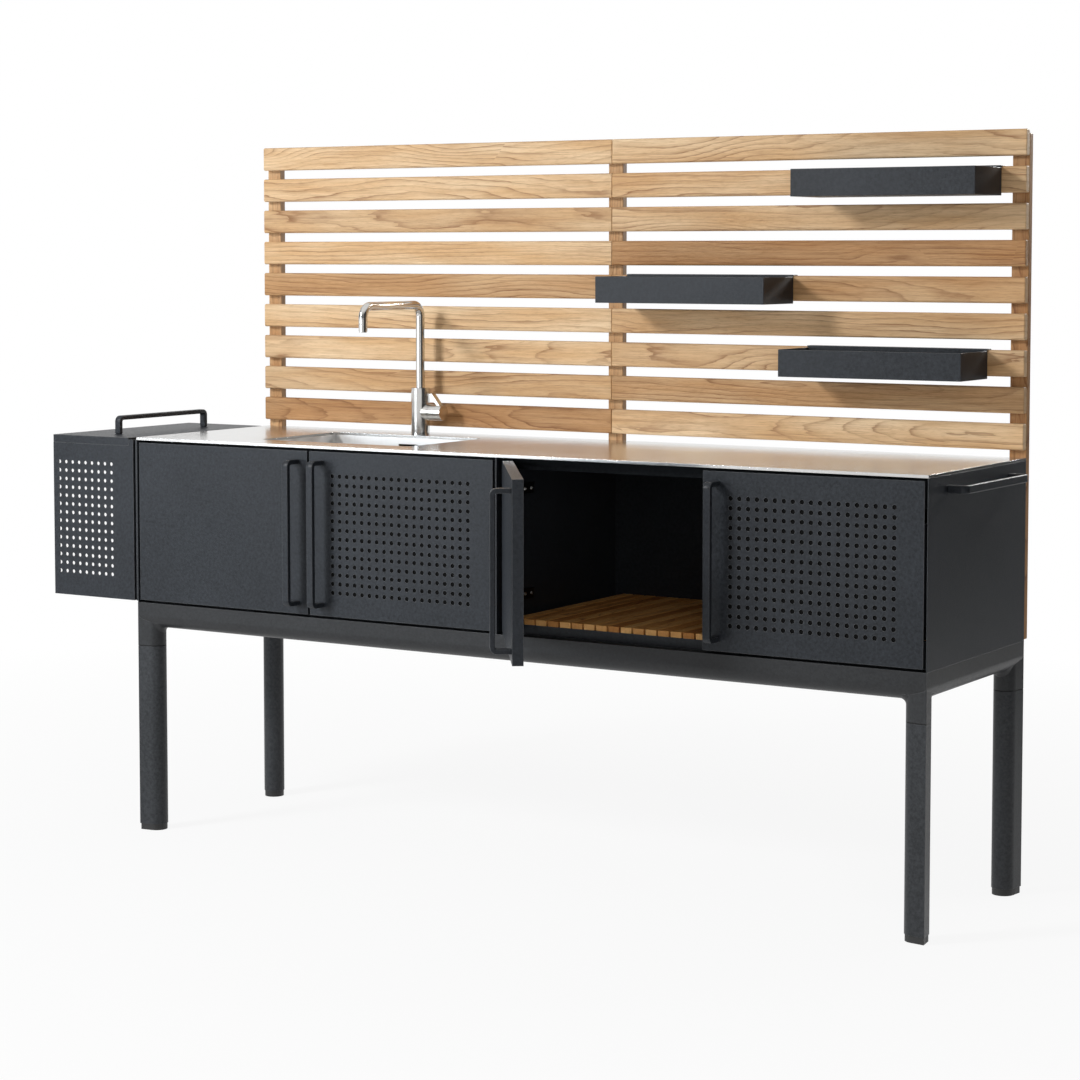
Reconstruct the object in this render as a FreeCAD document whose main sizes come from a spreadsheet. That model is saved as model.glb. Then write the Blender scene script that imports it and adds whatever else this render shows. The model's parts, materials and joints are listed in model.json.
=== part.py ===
"""Outdoor kitchen unit: two cabinet modules on a frame with drop-section legs.

A stainless top with a sink and a tap, four doors, a slatted timber back wall with
three hanging trays, a side box with a lift-off lid and a towel rail.

Millimetres.  Sizes are measured from the front left corner of the cabinet: x runs to
the right, y to the back and z up from the floor.  origin_x and origin_y then move the
whole model so that its origin is the centre of its footprint.
"""
import FreeCAD, Part
import math
import os
import re

from FreeCAD import Placement, Rotation, Vector

os.makedirs("parts", exist_ok=True)
doc = FreeCAD.newDocument("outdoor_kitchen")
sheet = doc.addObject("Spreadsheet::Sheet", "dims")
nodes = {}
diagonal = math.sqrt(2)
chamfer = 45

# Driving sizes
sizes = {
    # Cabinet, top and frame
    "module_width": 970,
    "unit_depth": 494,
    "top_height": 900,
    "top_gauge": 6,
    "panel_gauge": 2,
    "panel_flange": 20,
    "frame_top": 524,
    "rail_radius": 28.5,
    "leg_radius": 24.2,
    "leg_centre": 28,
    "socket_length": 70.5,
    "seam_ease": 1.2,
    "foot_height": 14,
    "foot_inset": 1.5,
    # Doors and their hinges
    "door_gap": 6,
    "door_depth": 22,
    "door_gauge": 1.5,
    "door_hem": 16,
    "door_angle": 55,
    "pivot_side": 12,
    "pivot_back": 8,
    "pin_radius": 3,
    "pin_clearance": 0.05,
    "eye_half": 4.5,
    "arm_gauge": 6,
    "arm_height": 28,
    "arm_clearance": 0.5,
    "arm_reach": 30,
    "plate_length": 60,
    "plate_gauge": 3,
    "lug_gauge": 3,
    "hinge_inset": 67,
    "slot_over": 1,
    # Bent flat bar of the handles and the towel rail
    "bar_width": 16,
    "bar_gauge": 10,
    "bar_bend": 14,
    "bar_length": 320,
    "bar_reach": 42,
    "handle_edge": 30,
    "handle_margin": 19,
    "towel_drop": 33,
    # Inside of the modules
    "floor_lift": 21,
    "floor_gauge": 12,
    "floor_width": 25,
    "floor_gap": 4,
    "front_setback": 1.5,
    "stretcher_height": 22,
    "stretcher_flange": 34,
    # Sink
    "sink_width": 408,
    "sink_length": 288,
    "sink_front": 94,
    "sink_corner": 16,
    "bowl_depth": 170,
    "bowl_gauge": 1.5,
    "overflow_width": 54,
    "overflow_height": 6,
    "overflow_drop": 24,
    "waste_radius": 24,
    "waste_gauge": 2.5,
    "waste_length": 70,
    # Tap
    "tap_back": 61.5,
    "tap_radius": 21.5,
    "tap_rise": 107,
    "shank_radius": 16,
    "shank_clearance": 1.5,
    "shank_length": 46,
    "spout_radius": 10,
    "spout_clearance": 0.05,
    "spout_socket": 36,
    "spout_rise": 298,
    "spout_reach": 225.5,
    "spout_bend": 26,
    "spout_drop": 55,
    "valve_rise": 51,
    "valve_radius": 18,
    "valve_reach": 29,
    "cap_length": 34,
    "cap_gap": 0.8,
    "lever_rise": 43,
    "lever_width": 15,
    "lever_gauge": 7,
    "lever_inset": 1,
    # Slatted wall
    "slat_height": 54,
    "slat_space": 20.8,
    "slat_gauge": 18,
    "slat_lift": 16,
    "slat_count": 9,
    "slat_ease": 2.5,
    "panel_joint": 1,
    "upright_width": 37,
    "upright_gauge": 18,
    "upright_lift": 2,
    "upright_below": 8,
    # Hanging trays
    "tray_length": 408,
    "tray_depth": 140,
    "tray_height": 57,
    "tray_gauge": 2,
    "tray_below": 2.5,
    "tray_gap": 0.3,
    "hook_drop": 10,
    "upper_margin": 53,
    "middle_margin": 40.5,
    "lower_margin": 79,
    # Side box
    "bin_gap": 10,
    "bin_width": 240,
    "bin_lift": 3,
    "bin_below": 2,
    "bin_gauge": 2,
    "bin_border": 16,
    "lid_lip": 18,
    "lid_stop": 14,
    "lid_play": 0.5,
    "ear_below": 4,
    "hanger_gauge": 3,
    "hanger_height": 30,
    "hanger_inset": 40,
}

# Sizes that follow from the ones above
rules = {
    "unit_length": "2 * module_width",
    "seam_height": "frame_top - rail_radius - socket_length",
    "carcass_top": "top_height - top_gauge",
    "door_width": "(module_width - 2 * panel_gauge - 3 * door_gap) / 2",
    "door_height": "carcass_top - frame_top - 2 * door_gap",
    "door_base": "frame_top + door_gap",
    "handle_length": "door_height - 2 * handle_margin",
    "pivot_left": "panel_gauge + door_gap + pivot_side",
    "door_back": "door_depth - pivot_back",
    "carcass_front": "pivot_back + sqrt(pivot_side^2 + door_back^2) + front_setback",
    "floor_base": "frame_top + floor_lift",
    "floor_pitch": "floor_width + floor_gap",
    "floor_count": "floor((module_width - 2 * panel_flange + floor_gap) / floor_pitch)",
    "sink_middle": "module_width / 2",
    "bowl_base": "carcass_top - bowl_depth",
    "tap_place": "unit_depth - tap_back",
    "slat_pitch": "slat_height + slat_space",
    "slat_front": "unit_depth - slat_gauge",
    "slat_base": "top_height + slat_lift",
    "wall_top": "slat_base + (slat_count - 1) * slat_pitch + slat_height",
    "upper_left": "unit_length - upper_margin - tray_length",
    "middle_left": "module_width + middle_margin",
    "lower_left": "unit_length - lower_margin - tray_length",
    "bin_right": "0 - bin_gap",
    "bin_left": "bin_right - bin_width",
    "bin_base": "frame_top + bin_lift",
    "bin_top": "top_height - bin_below",
    "bin_rim": "bin_top - lid_lip",
    "bin_back": "unit_depth - panel_gauge",
    "lid_right": "bin_right - lid_stop",
}

# The sheet: each name beside its number or its rule
cells = {"origin_x": 0, "origin_y": 0, **sizes, **{name: "=" + rule for name, rule in rules.items()}}
for row, (name, cell) in enumerate(cells.items(), start=1):
    sheet.set(f"A{row}", name)
    sheet.set(f"B{row}", str(cell))
    sheet.setAlias(f"B{row}", name)
doc.recompute()


def value(alias):
    """The number that a named cell holds."""
    return float(sheet.get(alias))


def ex(text):
    """An expression on the sheet, from one written with the bare names."""
    return re.sub(r"[a-z]+(?:_[a-z]+)+", lambda name: "dims." + name.group(), text)


def body(label, x="0", y="0", z="0", turn=None):
    """An empty body whose own origin is at x, y, z of the cabinet's coordinates."""
    piece = doc.addObject("PartDesign::Body", label)
    piece.Label = label
    piece.setExpression("Placement.Base.x", ex(f"origin_x + {x}"))
    piece.setExpression("Placement.Base.y", ex(f"origin_y + {y}"))
    piece.setExpression("Placement.Base.z", ex(z))
    if turn:
        piece.Placement.Rotation = Rotation(Vector(0, 0, 1), 1)
        piece.setExpression("Placement.Rotation.Angle", ex(turn))
    nodes[label] = piece
    return piece


def block(piece, x, y, z, cut=False, hand=1):
    """Add, or cut, a block given by its limits along each axis."""
    if hand < 0:
        x = (f"-({x[1]})", f"-({x[0]})")
    kind = "Subtractive" if cut else "Additive"
    box = piece.newObject(f"PartDesign::{kind}Box", "Block")
    for side, axis, (low, high) in zip(("Length", "Width", "Height"), "xyz", (x, y, z)):
        box.setExpression(side, ex(f"({high}) - ({low})"))
        box.setExpression(f"Placement.Base.{axis}", ex(low))
    return box


def rod(piece, radius, x, y, z, length, along="z", cut=False):
    """Add, or cut, a cylinder that starts at x, y, z and runs along one axis."""
    kind = "Subtractive" if cut else "Additive"
    bar = piece.newObject(f"PartDesign::{kind}Cylinder", "Rod")
    bar.setExpression("Radius", ex(radius))
    bar.setExpression("Height", ex(length))
    if along == "x":
        bar.Placement.Rotation = Rotation(Vector(0, 1, 0), 90)
    if along == "y":
        bar.Placement.Rotation = Rotation(Vector(1, 0, 0), -90)
    for axis, place in zip("xyz", (x, y, z)):
        bar.setExpression(f"Placement.Base.{axis}", ex(place))
    return bar


def sketch(piece, plane, outline, offset="0"):
    """A sketch of ready geometry on one of the body's own planes."""
    drawing = piece.newObject("Sketcher::SketchObject", "Outline")
    support = next(p for p in piece.Origin.OriginFeatures if p.Role == plane + "_Plane")
    drawing.AttachmentSupport = [(support, "")]
    drawing.MapMode = "FlatFace"
    drawing.setExpression("AttachmentOffset.Base.z", ex(offset))
    drawing.addGeometry(outline, False)
    return drawing


def pad(piece, plane, outline, length, offset="0", taper=0):
    """Extrude an outline along its plane's normal, +X, -Y or +Z, closing in by the taper's angle."""
    solid = piece.newObject("PartDesign::Pad", "Pad")
    solid.Profile = sketch(piece, plane, outline, offset)
    solid.setExpression("Length", ex(length))
    solid.TaperAngle = -taper
    return solid


def pocket(piece, plane, outline, length, offset="0"):
    """Cut an outline out against its plane's normal."""
    hole = piece.newObject("PartDesign::Pocket", "Pocket")
    hole.Profile = sketch(piece, plane, outline, offset)
    hole.setExpression("Length", ex(length))
    return hole


def lathe(piece, points):
    """Turn an outline of radii and heights about the body's upright axis."""
    turned = piece.newObject("PartDesign::Revolution", "Turned")
    turned.Profile = sketch(piece, "XZ", polygon(points))
    turned.ReferenceAxis = (turned.Profile[0], ["V_Axis"])
    turned.Angle = 360
    return turned


def polygon(points):
    """Straight lines through the points and back to the first."""
    corners = [Vector(*p) for p in points]
    return [Part.LineSegment(a, b) for a, b in zip(corners, corners[1:] + corners[:1])]


def rounded(x0, x1, y0, y1, radius):
    """A rectangle with round corners."""
    lines = []
    turns = ((x1, y0, -1, 1), (x1, y1, -1, -1), (x0, y1, 1, -1), (x0, y0, 1, 1))
    ends = []
    for i, (x, y, sx, sy) in enumerate(turns):
        centre = Vector(x + sx * radius, y + sy * radius)
        a = Vector(centre.x, y)
        b = Vector(x, centre.y)
        if i % 2:
            a, b = b, a
        middle = centre - Vector(sx, sy) * (radius / diagonal)
        lines.append(Part.Arc(a, middle, b))
        ends.append((a, b))
    for (_, leave), (reach, _) in zip(ends, ends[1:] + ends[:1]):
        lines.append(Part.LineSegment(leave, reach))
    return lines


def drop(tip, sx, sy, centre, radius):
    """A drop: a circle whose centre lies back from the tip, and its two tangents."""
    tip = Vector(*tip)
    away = centre * diagonal
    half = math.asin(min(1, radius / away))
    flat = math.sqrt(away**2 - radius**2)
    low, high = math.pi / 4 - half, math.pi / 4 + half
    first = tip + Vector(sx * flat * math.cos(low), sy * flat * math.sin(low))
    last = tip + Vector(sx * flat * math.cos(high), sy * flat * math.sin(high))
    far = tip + Vector(sx, sy) * (centre + radius / diagonal)
    return [Part.LineSegment(tip, first), Part.Arc(first, far, last), Part.LineSegment(last, tip)]


def bent_bar(length, place):
    """Outline of a flat bar bent to a U; place turns a run along it and a reach into a point."""
    reach, gauge, bend = value("bar_reach"), value("bar_gauge"), value("bar_bend")

    def arc(along, out, radius, side):
        centre = (along + side * radius, out - radius)
        middle = (centre[0] - side * radius / diagonal, centre[1] + radius / diagonal)
        return place(along, centre[1]), place(*middle), place(centre[0], out)

    near, over, top = arc(0, reach, bend, 1)
    near_in, over_in, top_in = arc(gauge, reach - gauge, bend - gauge, 1)
    far, over_far, top_far = arc(length, reach, bend, -1)
    far_in, over_far_in, top_far_in = arc(length - gauge, reach - gauge, bend - gauge, -1)
    return [
        Part.LineSegment(place(0, 0), near),
        Part.Arc(near, over, top),
        Part.LineSegment(top, top_far),
        Part.Arc(top_far, over_far, far),
        Part.LineSegment(far, place(length, 0)),
        Part.LineSegment(place(length, 0), place(length - gauge, 0)),
        Part.LineSegment(place(length - gauge, 0), far_in),
        Part.Arc(far_in, over_far_in, top_far_in),
        Part.LineSegment(top_far_in, top_in),
        Part.Arc(top_in, over_in, near_in),
        Part.LineSegment(near_in, place(gauge, 0)),
        Part.LineSegment(place(gauge, 0), place(0, 0)),
    ]


def mirrored(label, source, across):
    """A copy of a node on the other side of the unit's middle plane."""
    copy = doc.addObject("Part::Mirroring", label)
    copy.Label = label
    copy.Source = nodes[source]
    copy.Normal = Vector(1, 0, 0) if across == "x" else Vector(0, 1, 0)
    if across == "x":
        copy.setExpression("Base.x", ex("origin_x + unit_length / 2"))
    else:
        copy.setExpression("Base.y", ex("origin_y + unit_depth / 2"))
    nodes[label] = copy
    return copy


def coped(label, blank, others):
    """A node made of another one cut away where it meets the others."""
    meeting = doc.addObject("Part::MultiFuse", f"{label}_meeting")
    meeting.Shapes = [nodes[name] for name in others]
    cut = doc.addObject("Part::Cut", label)
    cut.Label = label
    cut.Base = nodes.pop(blank)
    cut.Tool = meeting
    nodes[label] = cut
    return cut


def frame():
    """Mitred rails, leg sockets coped to them, legs and glides, all of drop section."""
    radius = value("rail_radius")
    end = 2 * radius
    rail_outline = drop((0, value("frame_top")), 1, -1, radius, radius)
    front = body("rail_front")
    pad(front, "YZ", rail_outline, "unit_length")
    length = value("unit_length")
    for x, way in ((0, 1), (length, -1)):
        mitre = polygon([(x, 0), (x, end), (x + way * end, end)])
        pocket(front, "XY", mitre, "2 * rail_radius", "frame_top")
    left = body("rail_left")
    pad(left, "XZ", rail_outline, "unit_depth", "0 - unit_depth")
    depth = value("unit_depth")
    for y, way in ((0, 1), (depth, -1)):
        mitre = polygon([(0, y), (end, y), (end, y + way * end)])
        pocket(left, "XY", mitre, "2 * rail_radius", "frame_top")
    mirrored("rail_rear", "rail_front", "y")
    mirrored("rail_right", "rail_left", "x")

    centre, round_part = value("leg_centre"), value("leg_radius")
    leg = body("leg_front_left")
    outline = drop((0, 0), 1, 1, centre, round_part)
    pad(leg, "XY", outline, "seam_height - seam_ease - foot_height", "foot_height")
    pad(leg, "XY", outline, "seam_ease", "seam_height - seam_ease", chamfer)
    mirrored("leg_front_right", "leg_front_left", "x")
    mirrored("leg_rear_left", "leg_front_left", "y")
    mirrored("leg_rear_right", "leg_rear_left", "x")

    sockets = body("socket_blanks")
    glides = body("foot_glides")
    inset = value("foot_inset")
    half = math.asin(round_part / (centre * diagonal))
    back = inset / math.sin(half) / diagonal
    for x, sx in ((0, 1), (length, -1)):
        for y, sy in ((0, 1), (depth, -1)):
            outline = drop((x, y), sx, sy, centre, round_part)
            pad(sockets, "XY", outline, "socket_length", "seam_height")
            sole = drop((x + sx * back, y + sy * back), sx, sy, centre - back, round_part - inset)
            pad(glides, "XY", sole, "foot_height")
    coped("leg_sockets", "socket_blanks", ("rail_front", "rail_rear", "rail_left", "rail_right"))


def module(number, left):
    """Sides, back, bottom, stretcher and slatted floor of one cabinet module."""
    right = f"{left} + module_width"
    inner = (f"{left} + panel_gauge", f"{right} - panel_gauge")
    height = ("frame_top", "carcass_top")
    for side, wall, flange in (
        ("left", (left, inner[0]), (left, f"{left} + panel_flange")),
        ("right", (inner[1], right), (f"{right} - panel_flange", right)),
    ):
        panel = body(f"module_{number}_side_{side}")
        depth = ("0", "unit_depth - panel_gauge")
        block(panel, wall, depth, height)
        shelf = ("carcass_front", depth[1])
        block(panel, flange, shelf, ("carcass_top - panel_gauge", "carcass_top"))
        block(panel, flange, shelf, ("frame_top", "frame_top + panel_gauge"))

    back = body(f"module_{number}_back")
    block(back, (left, right), ("unit_depth - panel_gauge", "unit_depth"), height)

    bottom = body(f"module_{number}_bottom")
    base = ("frame_top + panel_gauge", "frame_top + 2 * panel_gauge")
    depth = ("carcass_front", "unit_depth - panel_gauge")
    block(bottom, inner, depth, base)
    upstand = (base[0], "floor_base")
    block(bottom, inner, (depth[0], f"{depth[0]} + panel_gauge"), upstand)
    block(bottom, inner, (f"{depth[1]} - panel_gauge", depth[1]), upstand)
    between = (f"{left} + panel_flange", f"{right} - panel_flange")
    block(bottom, between, (depth[0], f"{depth[0]} + panel_gauge"), ("frame_top", base[0]))

    stretcher = body(f"module_{number}_stretcher")
    under = "carcass_top - panel_gauge"
    block(stretcher, inner, ("carcass_front", "carcass_front + panel_gauge"),
          (f"{under} - stretcher_height", under))
    block(stretcher, inner, ("carcass_front", "carcass_front + stretcher_flange"),
          (f"{under} - panel_gauge", under))

    floor = body(f"module_{number}_floor")
    start = f"{left} + (module_width - floor_count * floor_pitch + floor_gap) / 2"
    rise = ("floor_base", "floor_base + floor_gauge")
    slat = block(floor, (start, f"{start} + floor_width"), depth, rise)
    row = floor.newObject("PartDesign::LinearPattern", "Row")
    row.Originals = [slat]
    row.Direction = (next(a for a in floor.Origin.OriginFeatures if a.Role == "X_Axis"), [""])
    row.setExpression("Length", ex("(floor_count - 1) * floor_pitch"))
    row.setExpression("Occurrences", ex("floor_count"))
    floor.Tip = row


def worktop():
    """Stainless top with its cut-outs, the bowl welded under it and the waste."""
    top = body("worktop")
    x0 = value("sink_middle") - value("sink_width") / 2
    x1 = value("sink_middle") + value("sink_width") / 2
    y0 = value("sink_front")
    y1 = y0 + value("sink_length")
    corner = value("sink_corner")
    length = value("unit_length")
    depth = value("unit_depth")
    tap = Vector(value("sink_middle"), value("tap_place"))
    tap_hole = Part.Circle(tap, Vector(0, 0, 1), value("shank_radius") + value("shank_clearance"))
    outline = polygon([(0, 0), (length, 0), (length, depth), (0, depth)])
    pad(top, "XY", outline + rounded(x0, x1, y0, y1, corner) + [tap_hole], "top_gauge", "carcass_top")

    bowl = body("sink_bowl")
    gauge = value("bowl_gauge")
    outside = rounded(x0 - gauge, x1 + gauge, y0 - gauge, y1 + gauge, corner + gauge)
    pad(bowl, "XY", outside, "bowl_depth", "bowl_base")
    pocket(bowl, "XY", rounded(x0, x1, y0, y1, corner), "bowl_depth - bowl_gauge", "carcass_top")
    middle_y = "sink_front + sink_length / 2"
    rod(bowl, "waste_radius + waste_gauge", "sink_middle", middle_y, "bowl_base", "bowl_gauge", cut=True)
    level = "top_height - overflow_drop"
    block(bowl, ("sink_middle - overflow_width / 2", "sink_middle + overflow_width / 2"),
          ("sink_front + sink_length", "sink_front + sink_length + bowl_gauge"),
          (f"{level} - overflow_height / 2", f"{level} + overflow_height / 2"), cut=True)

    waste = body("sink_waste", "sink_middle", middle_y, "bowl_base")
    bore = value("waste_radius")
    wall = bore + value("waste_gauge")
    low = -value("waste_length")
    lathe(waste, [(bore, low), (wall, low), (wall, gauge), (bore, gauge)])


def tap():
    """Pillar tap: body with its side valve, swivel spout and lever cap."""
    place = ("sink_middle", "tap_place", "top_height")
    pillar = body("tap_body", *place)
    radius, shank = value("tap_radius"), value("shank_radius")
    socket = value("spout_radius") + value("spout_clearance")
    rise = value("tap_rise")
    end = -value("shank_length")
    seat = rise - value("spout_socket")
    lathe(pillar, [(0, end), (shank, end), (shank, 0), (radius, 0), (radius, rise), (socket, rise),
                   (socket, seat), (0, seat)])
    rod(pillar, "valve_radius", "0", "0", "valve_rise", "valve_reach", "x")

    spout = body("tap_spout", *place)
    low = "tap_rise - spout_socket + cap_gap"
    turn = "spout_rise - spout_bend"
    mouth = "spout_rise - spout_drop"
    rod(spout, "spout_radius", "0", "0", low, f"{turn} - ({low})")
    elbow(spout, "0 - spout_bend", turn, Vector(0, 1, 0), Vector(0, 0, 1))
    rod(spout, "spout_radius", "0", "spout_bend - spout_reach", "spout_rise",
        "spout_reach - 2 * spout_bend", "y")
    elbow(spout, "spout_bend - spout_reach", turn, Vector(0, 0, 1), Vector(0, -1, 0))
    rod(spout, "spout_radius", "0", "0 - spout_reach", mouth, f"{turn} - ({mouth})")

    lever = body("tap_lever", *place)
    start = "valve_reach + cap_gap"
    rod(lever, "valve_radius", start, "0", "valve_rise", "cap_length", "x")
    x0 = value("valve_reach") + value("cap_gap")
    x1 = x0 + value("cap_length")
    tip = x0 + value("lever_inset")
    z0 = value("valve_rise")
    foot = z0 + value("valve_radius") / 2
    lean = value("lever_rise")
    gauge = value("lever_gauge")
    blade = polygon([(x1, foot), (x1 - gauge, foot), (tip, z0 + lean - gauge), (tip, z0 + lean),
                     (x0 + gauge, z0 + lean)])
    pad(lever, "XZ", blade, "lever_width", "0 - lever_width / 2")


def elbow(piece, y, z, start, end):
    """A quarter bend of the spout's tube about y, z, from one direction to the other."""
    ring = piece.newObject("PartDesign::AdditiveTorus", "Elbow")
    ring.setExpression("Radius1", ex("spout_bend"))
    ring.setExpression("Radius2", ex("spout_radius"))
    ring.Angle3 = 90
    ring.Placement.Rotation = Rotation(start, end, Vector(1, 0, 0), "ZXY")
    ring.setExpression("Placement.Base.y", ex(y))
    ring.setExpression("Placement.Base.z", ex(z))


def door(number, pivot, hand, turn, perforated):
    """One folded door with its hinge lugs and handle, drawn about its hinge axis."""
    place = (pivot, "pivot_back", "door_base")
    across = ("-pivot_side", "door_width - pivot_side")
    through = ("-pivot_back", "door_depth - pivot_back")
    skin = (through[0], f"{through[0]} + door_gauge")
    pan = body(f"door_{number}_pan" if perforated else f"door_{number}_panel", *place, turn)
    front = skin[1] if perforated else through[0]
    block(pan, across, (front, through[1]), ("0", "door_height"), hand=hand)
    inner = (f"{across[0]} + door_gauge", f"{across[1]} - door_gauge")
    rise = ("door_gauge", "door_height - door_gauge")
    block(pan, inner, (skin[1], f"{through[1]} - door_gauge"), rise, cut=True, hand=hand)
    block(pan, (f"{across[0]} + door_hem", f"{across[1]} - door_hem"), (skin[1], through[1]),
          ("door_hem", "door_height - door_hem"), cut=True, hand=hand)
    lug = (inner[0], "eye_half + door_gauge")
    for middle in ("hinge_inset", "door_height - hinge_inset"):
        low = f"{middle} - arm_height / 2 - arm_clearance"
        high = f"{middle} + arm_height / 2 + arm_clearance"
        block(pan, lug, (skin[1], f"{through[1]} - door_gauge"), (high, f"{high} + lug_gauge"), hand=hand)
        block(pan, (f"{across[0]} - slot_over", f"{lug[1]} + arm_clearance"),
              (skin[1], f"{through[1]} + slot_over"), (low, high), cut=True, hand=hand)
        rod(pan, "pin_radius + pin_clearance", "0", "0", high, "lug_gauge", cut=True)

    if perforated:
        sheet_front = body(f"door_{number}_front", *place, turn)
        block(sheet_front, across, skin, ("0", "door_height"), hand=hand)

    handle = body(f"door_{number}_handle", *place, turn)
    face, low = -value("pivot_back"), value("handle_margin")
    outline = bent_bar(value("handle_length"), lambda along, out: Vector(face - out, low + along))
    near = "door_width - pivot_side - handle_edge"
    pad(handle, "YZ", outline, "bar_width", f"{hand} * ({near}) - bar_width / 2")


def hinges(number, left, right):
    """Arms on both side walls of a module, each with a pin on which a door's lug hangs."""
    arms = body(f"module_{number}_hinges", "0", "pivot_back", "door_base")
    for pivot, hand in ((left, 1), (right, -1)):
        wall = "0 - pivot_side - door_gap"
        for middle in ("hinge_inset", "door_height - hinge_inset"):
            low, high = f"{middle} - arm_height / 2", f"{middle} + arm_height / 2"
            rod(arms, "pin_radius", pivot, "0", high, "arm_clearance + lug_gauge")
            for x, y in (
                (("-eye_half", "eye_half"), ("-eye_half", "arm_reach")),
                ((wall, "eye_half"), ("arm_reach - arm_gauge", "arm_reach")),
                ((wall, f"{wall} + plate_gauge"), ("arm_reach - arm_gauge", "arm_reach + plate_length")),
            ):
                limits = tuple(f"{pivot} + {hand} * ({edge})" for edge in (x if hand > 0 else x[::-1]))
                block(arms, limits, y, (low, high))


def side_box():
    """Side box with an open outer side and a lift-off lid."""
    wall = "bin_gauge"
    front = body("bin_front")
    left, right = value("bin_left"), value("bin_right")
    base, rim = value("bin_base"), value("bin_rim")
    step = value("lid_right") + value("lid_play")
    ear = value("bin_top") - value("ear_below")
    outline = polygon([(left, base), (right, base), (right, ear), (step, ear), (step, rim), (left, rim)])
    pad(front, "XZ", outline, wall, "0 - bin_gauge")

    depth = (wall, "bin_back - bin_gauge")
    inside = ("bin_left + bin_gauge", "bin_right - bin_gauge")
    outer = body("bin_outer")
    block(outer, ("bin_left", inside[0]), depth, ("bin_base", "bin_rim"))
    block(outer, ("bin_left", inside[0]), (f"{depth[0]} + bin_border", f"{depth[1]} - bin_border"),
          ("bin_base + bin_border", "bin_rim - bin_border"), cut=True)
    back = body("bin_rear")
    block(back, ("bin_left", "bin_right"), (depth[1], "bin_back"), ("bin_base", "bin_rim"))
    inner = body("bin_inner")
    block(inner, (inside[1], "bin_right"), depth, ("bin_base", "bin_top - ear_below"))
    bottom = body("bin_bottom")
    block(bottom, inside, depth, ("bin_base", "bin_base + bin_gauge"))

    hanger = body("bin_hanger")
    block(hanger, ("0 - hanger_gauge", "0"), ("0", "bin_back"), ("bin_base", "bin_top - ear_below"))
    for low in ("bin_base + hanger_inset", "bin_rim - hanger_inset - hanger_height"):
        block(hanger, ("bin_right", "0 - hanger_gauge"), ("hanger_inset", "bin_back - hanger_inset"),
              (low, f"{low} + hanger_height"))

    lid = body("bin_lid")
    block(lid, ("bin_left", "lid_right"), ("0", "bin_back"), ("bin_rim", "bin_top"))
    block(lid, ("bin_left + bin_gauge", "lid_right - bin_gauge"), (wall, "bin_back - bin_gauge"),
          ("bin_rim", "bin_top - bin_gauge"), cut=True)
    handle = body("bin_lid_handle")
    start = (value("bin_back") - value("bar_length")) / 2
    top = value("bin_top")
    outline = bent_bar(value("bar_length"), lambda along, out: Vector(start + along, top + out))
    pad(handle, "YZ", outline, "bar_width", "(bin_left + bin_right) / 2 - bar_width / 2")


def towel_rail():
    """Bent bar on the right side of the cabinet."""
    rail = body("towel_rail")
    start = (value("unit_depth") - value("bar_length")) / 2
    side = value("unit_length")
    outline = bent_bar(value("bar_length"), lambda along, out: Vector(side + out, start + along))
    pad(rail, "XY", outline, "bar_width", "top_height - towel_drop - bar_width / 2")


def slat_wall():
    """Two panels of timber slats in front of three uprights."""
    ease = value("slat_ease")
    y0, y1 = value("slat_front"), value("unit_depth")
    for side, start in (("left", "0"), ("right", "module_width + panel_joint / 2")):
        panel = body(f"slats_{side}")
        z0 = value("slat_base")
        z1 = z0 + value("slat_height")
        outline = polygon([(y0 + ease, z0), (y1 - ease, z0), (y1, z0 + ease), (y1, z1 - ease),
                           (y1 - ease, z1), (y0 + ease, z1), (y0, z1 - ease), (y0, z0 + ease)])
        slat = pad(panel, "YZ", outline, "module_width - panel_joint / 2", start)
        row = panel.newObject("PartDesign::LinearPattern", "Row")
        row.Originals = [slat]
        row.Direction = (next(a for a in panel.Origin.OriginFeatures if a.Role == "Z_Axis"), [""])
        row.setExpression("Length", ex("(slat_count - 1) * slat_pitch"))
        row.setExpression("Occurrences", ex("slat_count"))
        panel.Tip = row
    uprights = body("wall_uprights")
    for low in ("0", "unit_length / 2 - upright_width / 2", "unit_length - upright_width"):
        block(uprights, (low, f"{low} + upright_width"), ("unit_depth", "unit_depth + upright_gauge"),
              ("frame_top + upright_lift", "wall_top - upright_below"))


def tray(label, left, slat):
    """Open tray hung over the top edge of one slat, counted from the top."""
    piece = body(label)
    edge = f"(wall_top - {slat - 1} * slat_pitch)"
    back = "slat_front - tray_gap"
    x = (left, f"{left} + tray_length")
    y = (f"{back} - tray_depth", back)
    z = (f"{edge} - tray_below - tray_height", f"{edge} - tray_below")
    block(piece, x, y, z)
    block(piece, (f"{x[0]} + tray_gauge", f"{x[1]} - tray_gauge"),
          (f"{y[0]} + tray_gauge", f"{y[1]} - tray_gauge"), (f"{z[0]} + tray_gauge", z[1]), cut=True)
    behind = "unit_depth + tray_gap"
    over = (edge, f"{edge} + tray_gauge")
    block(piece, x, (f"{back} - tray_gauge", back), (z[1], over[1]))
    block(piece, x, (back, f"{behind} + tray_gauge"), over)
    block(piece, x, (behind, f"{behind} + tray_gauge"), (f"{edge} - hook_drop", edge))


def build():
    """Every sub-part of the unit."""
    frame()
    module(1, "0")
    module(2, "module_width")
    worktop()
    tap()
    far = "module_width - pivot_left"
    door(1, "pivot_left", 1, None, False)
    door(2, far, -1, None, True)
    door(3, "module_width + pivot_left", 1, "0 - door_angle", False)
    door(4, f"module_width + {far}", -1, None, True)
    hinges(1, "pivot_left", far)
    hinges(2, "module_width + pivot_left", f"module_width + {far}")
    side_box()
    towel_rail()
    slat_wall()
    tray("tray_upper", "upper_left", 2)
    tray("tray_middle", "middle_left", 5)
    tray("tray_lower", "lower_left", 7)
    doc.recompute()


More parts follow.
